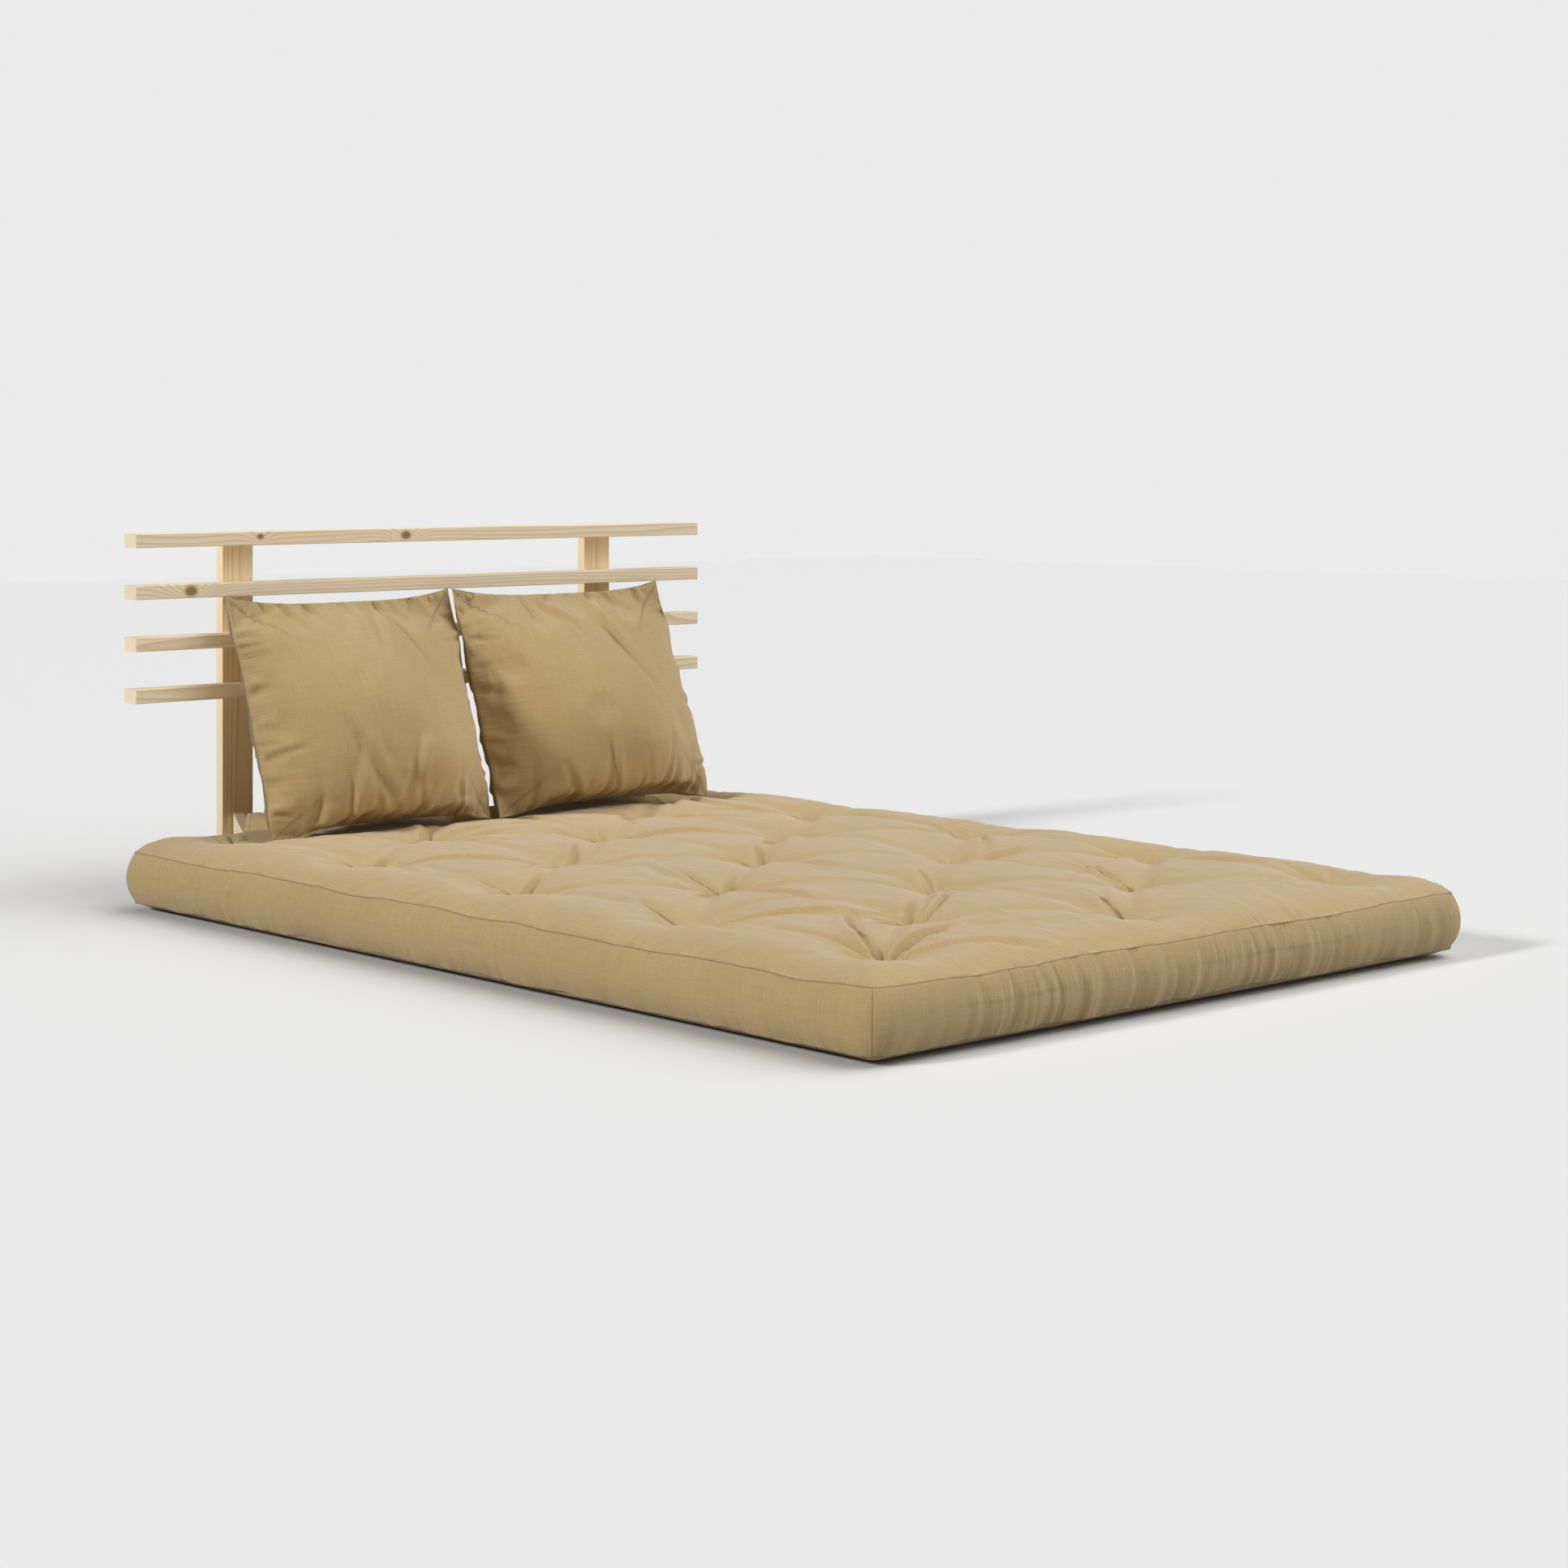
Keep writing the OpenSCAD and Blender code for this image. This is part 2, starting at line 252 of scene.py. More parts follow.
def pine_material(name, along, pith, seed, knots=(), tint=(1.0, 1.0, 1.0)):
    """Planed pine: growth rings about a pith line that runs along the board, knots where it says.
    along is the board's long axis, pith the line's place on the other two axes, in metres. A knot
    is ((place along, place beside), size, the axis that it is beside on)."""
    material, tree, shader = new_material(name)
    place = node(tree, "TexCoord").outputs["Object"]
    split = node(tree, "SeparateXYZ", {0: place}).outputs
    others = [axis for axis in (0, 1, 2) if axis != along]
    stretch = [9.0, 9.0, 9.0]
    stretch[along] = 0.9
    wobble = node(tree, "TexNoise", {"Vector": scaled(tree, place, stretch, (seed, seed, seed)),
                                     "Scale": 1.0, "Detail": 2.0}, noise_dimensions="3D")
    sway = grey_ramp(tree, wobble.outputs["Fac"], 0.0, 1.0, -0.022, 0.022)
    a = math_node(tree, "SUBTRACT", split[others[0]], pith[0])
    b = math_node(tree, "SUBTRACT", split[others[1]], pith[1])
    a = math_node(tree, "ADD", a, sway)
    for knot in knots:
        size = knot[1]
        square = squared_to_knot(tree, split, along, knot, 0.45)
        fall = math_node(tree, "MULTIPLY", square, -1 / (size * 1.3) ** 2)
        near = math_node(tree, "EXPONENT", fall)
        b = math_node(tree, "ADD", b, math_node(tree, "MULTIPLY", near, size * 1.4))
    radius = math_node(tree, "SQRT", math_node(tree, "ADD", math_node(tree, "MULTIPLY", a, a),
                                               math_node(tree, "MULTIPLY", b, b)))
    rings = math_node(tree, "FRACT", math_node(tree, "MULTIPLY", radius, 1 / RING_SPACING))
    ring_colour = ramp(tree, rings, [(0.0, (0.87, 0.755, 0.565)), (0.45, (0.84, 0.71, 0.505)),
                                     (0.86, (0.72, 0.55, 0.335)), (0.96, (0.85, 0.73, 0.53))])
    stretch = [900.0, 900.0, 900.0]
    stretch[along] = 14.0
    fibre = node(tree, "TexNoise", {"Vector": scaled(tree, place, stretch), "Scale": 1.0,
                                    "Detail": 3.0}).outputs["Fac"]
    fibre_tone = grey_ramp(tree, fibre, 0.25, 0.75, 0.95, 1.04)
    stretch = [6.0, 6.0, 6.0]
    stretch[along] = 1.6
    patch = node(tree, "TexNoise", {"Vector": scaled(tree, place, stretch, (seed * 3, 0, 0)),
                                    "Scale": 1.0}).outputs["Fac"]
    patch_tone = grey_ramp(tree, patch, 0.3, 0.7, 0.95, 1.06)
    value = math_node(tree, "MULTIPLY", fibre_tone, patch_tone)
    shades = [math_node(tree, "MULTIPLY", value, share) for share in tint]
    shade = node(tree, "CombineColor", {0: shades[0], 1: shades[1], 2: shades[2]}).outputs[0]
    colour = mix_colour(tree, 1.0, ring_colour, shade, "MULTIPLY")
    for knot in knots:
        size = knot[1]
        distance = math_node(tree, "SQRT", squared_to_knot(tree, split, along, knot, 0.7))
        core = grey_ramp(tree, distance, size * 0.35, size * 0.75, 1.0, 0.0)
        swirl = math_node(tree, "FRACT", math_node(tree, "MULTIPLY", distance, 1 / (size * 0.3)))
        knot_colour = ramp(tree, swirl, [(0.0, (0.30, 0.15, 0.065)), (1.0, (0.42, 0.24, 0.11))])
        colour = mix_colour(tree, core, colour, knot_colour)
    tree.links.new(colour, shader.inputs["Base Color"])
    height = math_node(tree, "ADD", math_node(tree, "MULTIPLY", rings, 0.5), fibre)
    bump = node(tree, "Bump", {"Height": height, "Strength": 0.25, "Distance": 0.0004})
    tree.links.new(bump.outputs[0], shader.inputs["Normal"])
    rough = grey_ramp(tree, fibre, 0.2, 0.8, 0.50, 0.66)
    tree.links.new(rough, shader.inputs["Roughness"])
    shader.inputs["Specular IOR Level"].default_value = 0.35
    return material


def steel_material():
    material, tree, shader = new_material("zinc_plated_steel")
    place = node(tree, "TexCoord").outputs["Object"]
    brushed = node(tree, "TexNoise", {"Vector": scaled(tree, place, (3000, 300, 3000)), "Scale": 1.0,
                                      "Detail": 2.0}).outputs["Fac"]
    tree.links.new(ramp(tree, brushed, [(0.3, (0.52, 0.52, 0.54)), (0.7, (0.70, 0.70, 0.72))]),
                   shader.inputs["Base Color"])
    tree.links.new(grey_ramp(tree, brushed, 0.2, 0.8, 0.28, 0.45), shader.inputs["Roughness"])
    shader.inputs["Metallic"].default_value = 1.0
    return material


def foam_material():
    material, tree, shader = new_material("foam")
    place = node(tree, "TexCoord").outputs["Object"]
    cells = node(tree, "TexVoronoi", {"Vector": place, "Scale": 700.0}).outputs["Distance"]
    tree.links.new(ramp(tree, cells, [(0.0, (0.70, 0.60, 0.34)), (0.6, (0.90, 0.82, 0.56))]),
                   shader.inputs["Base Color"])
    bump = node(tree, "Bump", {"Height": cells, "Strength": 0.6, "Distance": 0.0008})
    tree.links.new(bump.outputs[0], shader.inputs["Normal"])
    tree.links.new(grey_ramp(tree, cells, 0.0, 1.0, 0.85, 1.0), shader.inputs["Roughness"])
    return material


# ---------------------------------------------------------------- mesh helpers

def mesh_object(name, points, faces):
    mesh = bpy.data.meshes.new(name)
    mesh.from_pydata([tuple(p) for p in points], [], faces)
    mesh.validate()
    mesh.update()
    made = bpy.data.objects.new(name, mesh)
    bpy.context.scene.collection.objects.link(made)
    return made


def coordinates(piece):
    co = np.zeros(len(piece.data.vertices) * 3, np.float32)
    piece.data.vertices.foreach_get("co", co)
    return co.reshape(-1, 3).astype(float)


def set_coordinates(piece, co):
    piece.data.vertices.foreach_set("co", np.asarray(co, np.float32).ravel())
    piece.data.update()


def point_attribute(piece, name, values):
    kind = "FLOAT" if values.ndim == 1 else "FLOAT_VECTOR"
    attribute = piece.data.attributes.get(name) or piece.data.attributes.new(name, kind, "POINT")
    key = "value" if values.ndim == 1 else "vector"
    attribute.data.foreach_set(key, values.astype(np.float32).ravel())


def read_attribute(piece, name, width=1):
    values = np.zeros(len(piece.data.vertices) * width, np.float32)
    piece.data.attributes[name].data.foreach_get("value" if width == 1 else "vector", values)
    return values.astype(float) if width == 1 else values.reshape(-1, width).astype(float)


def apply_modifiers(piece):
    depsgraph = bpy.context.evaluated_depsgraph_get()
    depsgraph.update()
    mesh = bpy.data.meshes.new_from_object(piece.evaluated_get(depsgraph))
    piece.modifiers.clear()
    piece.data = mesh
    return piece


def subdivide(piece, levels=1):
    modifier = piece.modifiers.new("smooth", "SUBSURF")
    modifier.levels = levels
    modifier.render_levels = levels
    return apply_modifiers(piece)


def shade_smooth(piece):
    piece.data.polygons.foreach_set("use_smooth", [True] * len(piece.data.polygons))


def smooth_step(t):
    t = np.clip(t, 0, 1)
    return t * t * (3 - 2 * t)


STIFFNESS = 40.0


def inflate(piece, frames, pressure, slack, bending, pins):
    """Swells the piece by cloth simulation with air pressure, applied at the last frame.
    slack is how much longer the cloth is than the shape it starts from; pins is how firmly each
    vertex is held in place, from 0 to 1."""
    scene = bpy.context.scene
    scene.frame_start = 1
    scene.frame_end = frames
    cloth = piece.modifiers.new("cloth", "CLOTH")
    settings = cloth.settings
    settings.quality = 6
    settings.mass = 0.3
    settings.air_damping = 3.0
    settings.tension_stiffness = STIFFNESS
    settings.compression_stiffness = STIFFNESS
    settings.shear_stiffness = STIFFNESS * 0.3
    settings.bending_stiffness = bending
    settings.tension_damping = 10.0
    settings.compression_damping = 10.0
    settings.shear_damping = 10.0
    settings.bending_damping = 1.0
    settings.use_pressure = True
    settings.uniform_pressure_force = pressure
    settings.use_pressure_volume = False
    settings.pressure_factor = 1.0
    settings.effector_weights.gravity = 0.0
    settings.shrink_min = -slack
    group = piece.vertex_groups.new(name="pins")
    for index, weight in enumerate(pins):
        if weight > 0:
            group.add([index], float(weight), "REPLACE")
    settings.vertex_group_mass = "pins"
    cloth.collision_settings.use_collision = False
    cloth.point_cache.frame_start = 1
    cloth.point_cache.frame_end = frames
    for number in range(1, frames + 1):
        scene.frame_set(number)
    apply_modifiers(piece)
    scene.frame_set(1)


# ---------------------------------------------------------------- mattress

MATTRESS_PARTS = ("mattress_cover", "cotton_top", "foam_core", "cotton_bottom", "tuft_ties")
rear_low, rear_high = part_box("mattress_cover_rear")
front_low, front_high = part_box("mattress_cover_front")
MATTRESS_X = (rear_low.x + rear_high.x) / 2
FOLD_Y = (rear_low.y + front_high.y) / 2
BULGE = 0.016
HALF_X = (rear_high.x - rear_low.x) / 2 - BULGE
HALF_Y = (rear_high.y - front_low.y) / 2 - BULGE
CORNER = 0.030
TOP_SEAM = 0.108
LOW_SEAM = 0.014
CROWN = rear_high.z
TUFT_PITCH_X = 0.270
TUFT_PITCH_Y = 0.430
TUFT_DEPTH = 0.041                     # of a dimple in the top
DEEPEST = 0.042                        # of a dimple where it meets valleys
UNDER_DEPTH = 0.019                    # of a dimple in the underside
SHOULDER = 0.095                       # how far in from the edge the top reaches its height
NEIGHBOURS = 0.46                      # tufts nearer than this have a valley between them
TROUGH_DEPTH, TROUGH_Y = 0.017, 0.800  # where the cushions stand
SOFTNESS, PRESSURE, SLACK = 0.22, 0.03, 0.007


def tufts():
    """Tufts in five staggered columns, from the middle of the mattress."""
    found = []
    for column in range(-2, 3):
        for row in range(-3, 4):
            y = (row if column % 2 == 0 else row + 0.5) * TUFT_PITCH_Y
            if abs(y) < HALF_Y - 0.1:
                found.append((column * TUFT_PITCH_X, y))
    return np.array(sorted(set(found)))


def noise(x, y, size, seed):
    """Smooth noise from -1 to 1 whose features are about the given size across."""
    table = np.random.default_rng(seed).uniform(-1, 1, (256, 256))
    gx, gy = x / size + 71.3, y / size + 39.7
    ix, iy = np.floor(gx).astype(int), np.floor(gy).astype(int)
    fx, fy = smooth_step(gx - ix), smooth_step(gy - iy)

    def at(i, j):
        return table[(ix + i) % 256, (iy + j) % 256]

    low = at(0, 0) * (1 - fx) + at(1, 0) * fx
    high = at(0, 1) * (1 - fx) + at(1, 1) * fx
    return low * (1 - fy) + high * fy


def spaced(half, step, near):
    """Places along a side from -half to half: close together next to the seams, then even."""
    count = round(2 * (half - near[-1]) / step)
    middle = np.linspace(near[-1] - half, half - near[-1], count + 1)
    ends = np.array(near[:-1])
    return np.concatenate([ends - half, middle, half - ends[::-1]])


def rounded(x, y):
    """Moves grid points so that the plan's square corners become round ones."""
    cx = np.abs(x) - (HALF_X - CORNER)
    cy = np.abs(y) - (HALF_Y - CORNER)
    inside = (cx > 0) & (cy > 0)
    s, t = np.clip(cx, 0, None), np.clip(cy, 0, None)
    length = np.hypot(s, t)
    factor = np.where(inside, np.maximum(s, t) / np.maximum(length, 1e-9), 1.0)
    nx = np.where(inside, np.sign(x) * (HALF_X - CORNER + s * factor), x)
    ny = np.where(inside, np.sign(y) * (HALF_Y - CORNER + t * factor), y)
    return nx, ny


def outline(x, y):
    """For plan points: the way out, the nearest place on the outline, and the distance inside it."""
    cx = np.clip(np.abs(x) - (HALF_X - CORNER), 0, None)
    cy = np.clip(np.abs(y) - (HALF_Y - CORNER), 0, None)
    length = np.hypot(cx, cy)
    safe = np.maximum(length, 1e-9)
    out = np.stack([np.sign(x) * cx / safe, np.sign(y) * cy / safe], 1)
    flat = np.minimum(HALF_X - np.abs(x), HALF_Y - np.abs(y))
    edge = np.where(length > 1e-9, CORNER - length, flat)
    side = np.abs(x) / HALF_X > np.abs(y) / HALF_Y
    px = np.where(length > 1e-9, x + out[:, 0] * edge, np.where(side, np.sign(x) * HALF_X, x))
    py = np.where(length > 1e-9, y + out[:, 1] * edge, np.where(side, y, np.sign(y) * HALF_Y))
    return out, px, py, edge


def mattress_grid(step):
    """The mattress's skin as one box grid: points, faces of the top, border and bottom, how much
    each point belongs to the border, and which points lie on a seam."""
    near = (0, 0.0014, 0.005, 0.011, 0.019, 0.029)
    xs = spaced(HALF_X, step, near)
    ys = spaced(HALF_Y, step, near)
    ts = np.array([0, 0.014, 0.05, 0.13, 0.24, 0.37, 0.5, 0.63, 0.76, 0.87, 0.95, 0.986, 1.0])
    nx, ny, nz = len(xs) - 1, len(ys) - 1, len(ts) - 1
    index = {}
    points, border, seam = [], [], []
    for k in range(nz + 1):
        for i in range(nx + 1):
            for j in range(ny + 1):
                rim = i in (0, nx) or j in (0, ny)
                if not (rim or k in (0, nz)):
                    continue
                index[i, j, k] = len(points)
                points.append((xs[i], ys[j], ts[k]))
                border.append(1.0 if 0 < k < nz else 0.5 if rim else 0.0)
                corner = i in (0, nx) and j in (0, ny)
                seam.append(1.0 if rim and (k in (0, nz) or corner) else 0.0)
    top = [(index[i, j, nz], index[i + 1, j, nz], index[i + 1, j + 1, nz], index[i, j + 1, nz])
           for i in range(nx) for j in range(ny)]
    bottom = [(index[i, j, 0], index[i, j + 1, 0], index[i + 1, j + 1, 0], index[i + 1, j, 0])
              for i in range(nx) for j in range(ny)]
    loop = [(i, 0) for i in range(nx)] + [(nx, j) for j in range(ny)]
    loop += [(i, ny) for i in range(nx, 0, -1)] + [(0, j) for j in range(ny, 0, -1)]
    side = []
    for k in range(nz):
        for a, b in zip(loop, loop[1:] + loop[:1]):
            side.append((index[*a, k], index[*b, k], index[*b, k + 1], index[*a, k + 1]))
    points = np.array(points)
    x, y = rounded(points[:, 0], points[:, 1])
    t = points[:, 2]
    out = outline(x, y)[0]
    swell = np.where((t > 0) & (t < 1), BULGE * (1 - (2 * t - 1) ** 2), 0)
    z = LOW_SEAM + (TOP_SEAM - LOW_SEAM) * t
    points = np.stack([x + out[:, 0] * swell, y + out[:, 1] * swell, z], 1)
    return points, top, side, bottom, np.array(border), np.array(seam)


def crown(x, y):
    """Height of the stuffed top above its seam: round shoulders, a dimple at every tuft and a
    shallow valley between neighbouring tufts."""
    edge = outline(x, y)[3]
    rise = 1 - (1 - np.clip(edge / SHOULDER, 0, 1)) ** 2.4
    places = tufts()
    sway = 0.016 * noise(x, y, 0.12, 5)
    dip = np.zeros(len(x))
    valley = np.zeros(len(x))
    for number, a in enumerate(places):
        d = np.hypot(x - a[0], y - a[1])
        dip += 0.42 * np.exp(-d / 0.016) + 0.58 * np.exp(-(d / 0.085) ** 2)
        for b in places[number + 1:]:
            span = np.hypot(*(b - a))
            if span > NEIGHBOURS:
                continue
            t = ((x - a[0]) * (b - a)[0] + (y - a[1]) * (b - a)[1]) / span ** 2
            side = ((x - a[0]) * (b - a)[1] - (y - a[1]) * (b - a)[0]) / span + sway
            depth = 0.0105 if span < 0.40 else 0.0070
            inside = (t > 0) & (t < 1)
            shallow = 1 - 0.45 * np.sin(math.pi * np.clip(t, 0, 1))
            line = depth * np.exp(-(side / 0.026) ** 2) * shallow
            valley = np.maximum(valley, np.where(inside, line, 0))
    swell = noise(x, y, 0.17, 3) * 0.0020
    full = CROWN - TOP_SEAM + 0.001
    fall = np.minimum(valley + TUFT_DEPTH * np.minimum(dip, 1.0), DEEPEST)
    return rise * (full + swell - fall)


def to_nearest_tuft(x, y):
    places = tufts()
    return np.hypot(x[:, None] - places[:, 0], y[:, None] - places[:, 1]).min(1)


def hollows(x, y):
    """Height of the underside's dimples: shallower than the top's, under the same tufts."""
    d = to_nearest_tuft(x, y)
    return UNDER_DEPTH * (0.4 * np.exp(-d / 0.016) + 0.6 * np.exp(-(d / 0.070) ** 2))


def trough(x, y):
    """How far the cushions press into the top."""
    across = smooth_step((x + 0.535) / 0.05) * smooth_step((0.635 - x) / 0.05)
    return TROUGH_DEPTH * across * np.exp(-((y - TROUGH_Y) / 0.075) ** 2)


def ruffled_top(points, top):
    """The top panel as slack cloth over soft stuffing: tied down at the tufts, sewn at the edge."""
    used = sorted({v for face in top for v in face})
    place = {v: n for n, v in enumerate(used)}
    co = points[used]
    piece = mesh_object("mattress_top", co, [tuple(place[v] for v in f) for f in top])
    x, y = co[:, 0], co[:, 1]
    edge = outline(x, y)[3]
    pins = np.where((edge < 0.004) | (to_nearest_tuft(x, y) < 0.009), 1.0, SOFTNESS)
    inflate(piece, 22, PRESSURE, SLACK, 0.4, pins)
    moved = coordinates(piece)
    bpy.data.objects.remove(piece)
    result = points.copy()
    result[used] = moved
    return result


def pleat(side, width, rise, shift, spread):
    """Profile across a fold: a valley at 0 with a lower ridge beside it."""
    ridge = rise * np.exp(-((side - shift * width) / (spread * width)) ** 2)
    return ridge - np.exp(-(side / width) ** 2)


def creases(x, y, seed):
    """Folds that run out from the tufts: long ones towards the neighbours, short ones all round."""
    generator = np.random.default_rng(seed)
    places = tufts()
    height = np.zeros(len(x))
    for place in places:
        away = places - place
        far = np.hypot(away[:, 0], away[:, 1])
        near = np.argsort(far)[1:7]
        folds = []
        for other in near:
            angle = math.atan2(away[other][1], away[other][0]) + generator.normal(0, 0.16)
            if generator.random() < 0.75:
                reach = far[other] * generator.uniform(0.35, 0.70)
                folds.append((angle, reach, generator.uniform(0.0070, 0.0130),
                              generator.uniform(0.006, 0.010), generator.uniform(-0.45, 0.45)))
        turn = generator.uniform(0, 6.28)
        for number in range(11):
            angle = turn + number * 0.571 + generator.normal(0, 0.13)
            folds.append((angle, generator.uniform(0.050, 0.110),
                          generator.uniform(0.0040, 0.0075),
                          generator.uniform(0.0038, 0.0058), generator.uniform(-0.3, 0.3)))
        dx, dy = x - place[0], y - place[1]
        d = np.hypot(dx, dy)
        for angle, reach, depth, width, curve in folds:
            close = d < reach
            r = d[close]
            along = r / reach
            bend = angle + curve * along
            turned = np.arctan2(dy[close], dx[close]) - bend
            side = r * np.sin(turned)
            ahead = np.cos(turned) > 0
            wide = width * (0.55 + 0.9 * along)
            strength = depth * smooth_step(r / 0.018) * (1 - along) ** 0.7 * ahead
            height[close] += strength * pleat(side, wide, 0.6, 2.1, 1.5)
    return height


def busy_places(px, py, least):
    """How gathered the seam is at places along it, from least to 1."""
    return least + (1 - least) * smooth_step(noise(px, py, 0.13, 14) * 0.9 + 0.5)


def puckers(px, py, lean):
    """Gathers along the seams: narrow folds square to the seam, busier in some places."""
    x, y = px + lean, py + lean
    fine = noise(x, y, 0.0135, 11) + 0.6 * noise(x, y, 0.0095, 12)
    broad = noise(x, y, 0.034, 13)
    return fine * busy_places(px, py, 0.35), broad


def dress(piece):
    """Fine relief on the subdivided skin: creases, gathers, sunken seams, hollows underneath."""
    co = coordinates(piece)
    border = read_attribute(piece, "border")
    seam = read_attribute(piece, "seam")
    x, y, z = co.T.copy()
    out, px, py, edge = outline(x, y)
    panel = np.clip(1 - 2 * border, 0, 1)
    on_side = np.clip(2 * border - 1, 0, 1)
    top = z > 0.07
    fold = creases(x, y, 21)
    margin = smooth_step(edge / 0.06)
    under = 0.75 * np.clip(0.0015 - fold, 0, None)
    co[:, 2] += panel * margin * np.where(top, fold, under)
    lean = 0.10 * (z - 0.06) * noise(px, py, 0.05, 15)
    fine, broad = puckers(px, py, lean)
    fade = np.exp(-np.clip(edge, 0, None) / 0.035) * smooth_step(edge / 0.008)
    co[:, 2] += np.where(top, panel * fade * (fine * 0.0030 + broad * 0.0022), 0)
    t = np.clip((z - LOW_SEAM) / (TOP_SEAM - LOW_SEAM), 0, 1)
    near_seam = 0.30 + 0.70 * np.exp(-np.minimum(t, 1 - t) / 0.20)
    reach = np.clip(0.35 + 0.65 * noise(px, py, 0.045, 16), 0.1, 1) * (1 - near_seam) + near_seam
    push = on_side * reach * (fine * 0.0034 + broad * 0.0026)
    push -= 0.0008 * seam
    co[:, 0] += out[:, 0] * push
    co[:, 1] += out[:, 1] * push
    wave = noise(px, py, 0.11, 17) * 0.0032 + noise(px, py, 0.045, 18) * 0.0012
    rim = np.exp(-np.clip(edge, 0, None) / 0.04)
    co[:, 2] += wave * rim * smooth_step((z - 0.03) / 0.06)
    point_attribute(piece, "rib", np.stack([px + lean, py + lean, z], 1))
    by_seam = 0.5 + 0.5 * np.exp(-np.minimum(t, 1 - t) / 0.22)
    gather = np.where(top, np.exp(-np.clip(edge, 0, None) / 0.045), 1.0) * by_seam
    gather *= np.clip(border * 4, 0, 1)
    gather = np.maximum(gather, np.where(top, np.exp(-np.clip(edge, 0, None) / 0.030), 0))
    point_attribute(piece, "gather", gather * busy_places(px, py, 0.30))
    low_wave = np.abs(noise(px, py, 0.055, 19) * 0.0045 + noise(px, py, 0.12, 20) * 0.0085) * rim
    co[:, 2] += low_wave * smooth_step((0.05 - z) / 0.045) * smooth_step(border * 3)
    set_coordinates(piece, co)


def hollow_under(piece):
    """Room underneath for the foot boards and braces that the head end lies on."""
    co = coordinates(piece)
    for name in ("foot_left", "foot_right", "brace_left", "brace_right"):
        low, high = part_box(name)
        gap = np.maximum(np.maximum(low.x - co[:, 0], co[:, 0] - high.x), low.y - co[:, 1])
        inside = 1 - smooth_step((gap - 0.004) / 0.022)
        lift = (high.z + 0.002) * inside
        under = co[:, 2] < 0.06
        co[:, 2] = np.where(under, np.maximum(co[:, 2], lift), co[:, 2])
    set_coordinates(piece, co)


def mattress():
    points, top, side, bottom, border, seam = mattress_grid(0.0115)
    on_top = np.zeros(len(points), bool)
    on_top[sorted({v for face in top for v in face})] = True
    points[on_top, 2] += crown(points[on_top, 0], points[on_top, 1])
    points = ruffled_top(points, top)
    low = np.zeros(len(points), bool)
    low[sorted({v for face in bottom for v in face})] = True
    edge = outline(points[:, 0], points[:, 1])[3]
    points[low, 2] = LOW_SEAM - (LOW_SEAM - 0.001) * smooth_step(edge[low] / 0.040)
    points[low, 2] += hollows(points[low, 0], points[low, 1]) * smooth_step(edge[low] / 0.060)
    piece = mesh_object("mattress", points, top + side + bottom)
    point_attribute(piece, "border", border)
    # The seam marks carry painted shade: the canvas darkens along them. dress also sinks them a
    # little.
    point_attribute(piece, "seam", seam)
    subdivide(piece)
    dress(piece)
    co = coordinates(piece)
    co[:, 0] += MATTRESS_X
    co[:, 1] += FOLD_Y
    co[:, 2] -= trough(co[:, 0], co[:, 1]) * smooth_step((co[:, 2] - 0.06) / 0.05)
    co[:, 2] = np.clip(co[:, 2], 0.0006, CROWN + 0.003)
    set_coordinates(piece, co)
    hollow_under(piece)
    add_cloth_coordinates(piece, read_attribute(piece, "border"))
    shade_smooth(piece)
    piece.data.materials.append(canvas_material("mattress_canvas"))
    for half in ("rear", "front"):
        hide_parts(*[f"{part}_{half}" for part in MATTRESS_PARTS])
    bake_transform(piece)


def add_cloth_coordinates(piece, border):
    """Cloth coordinates in metres on each face corner: x and y on the panels, and along and up the
    border, so that the weave lies square to every edge."""
    mesh = piece.data
    co = coordinates(piece)
    loops = np.zeros(len(mesh.loops), int)
    mesh.loops.foreach_get("vertex_index", loops)
    starts = np.zeros(len(mesh.polygons), int)
    mesh.polygons.foreach_get("loop_start", starts)
    sizes = np.zeros(len(mesh.polygons), int)
    mesh.polygons.foreach_get("loop_total", sizes)
    face_of = np.repeat(np.arange(len(sizes)), sizes)
    normals = np.zeros(len(mesh.polygons) * 3)
    mesh.polygons.foreach_get("normal", normals)
    normals = normals.reshape(-1, 3)
    share = np.add.reduceat(border[loops], starts) / sizes
    on_border = (share > 0.5)[face_of]
    sideways = (np.abs(normals[:, 0]) > np.abs(normals[:, 1]))[face_of]
    p = co[loops]
    u = np.where(on_border, np.where(sideways, p[:, 1] + 7, p[:, 0] + 13), p[:, 0])
    v = np.where(on_border, p[:, 2] + 3, p[:, 1])
    flat = np.stack([u, v, np.zeros(len(u))], 1)
    attribute = mesh.attributes.new("cloth", "FLOAT_VECTOR", "CORNER")
    attribute.data.foreach_set("vector", flat.astype(np.float32).ravel())


# ---------------------------------------------------------------- cushions

LEAN = math.radians(21.5)
CUSHION_YAW = math.radians(2.2)
SEAM_FOOT = (0.776, 0.121)
SEAM_HEIGHT = 0.492
CUSHION_FRONT = 0.150
CUSHION_BACK = 0.080
CUSHION_SAG = 0.055
SLAT_FACE = 0.9835


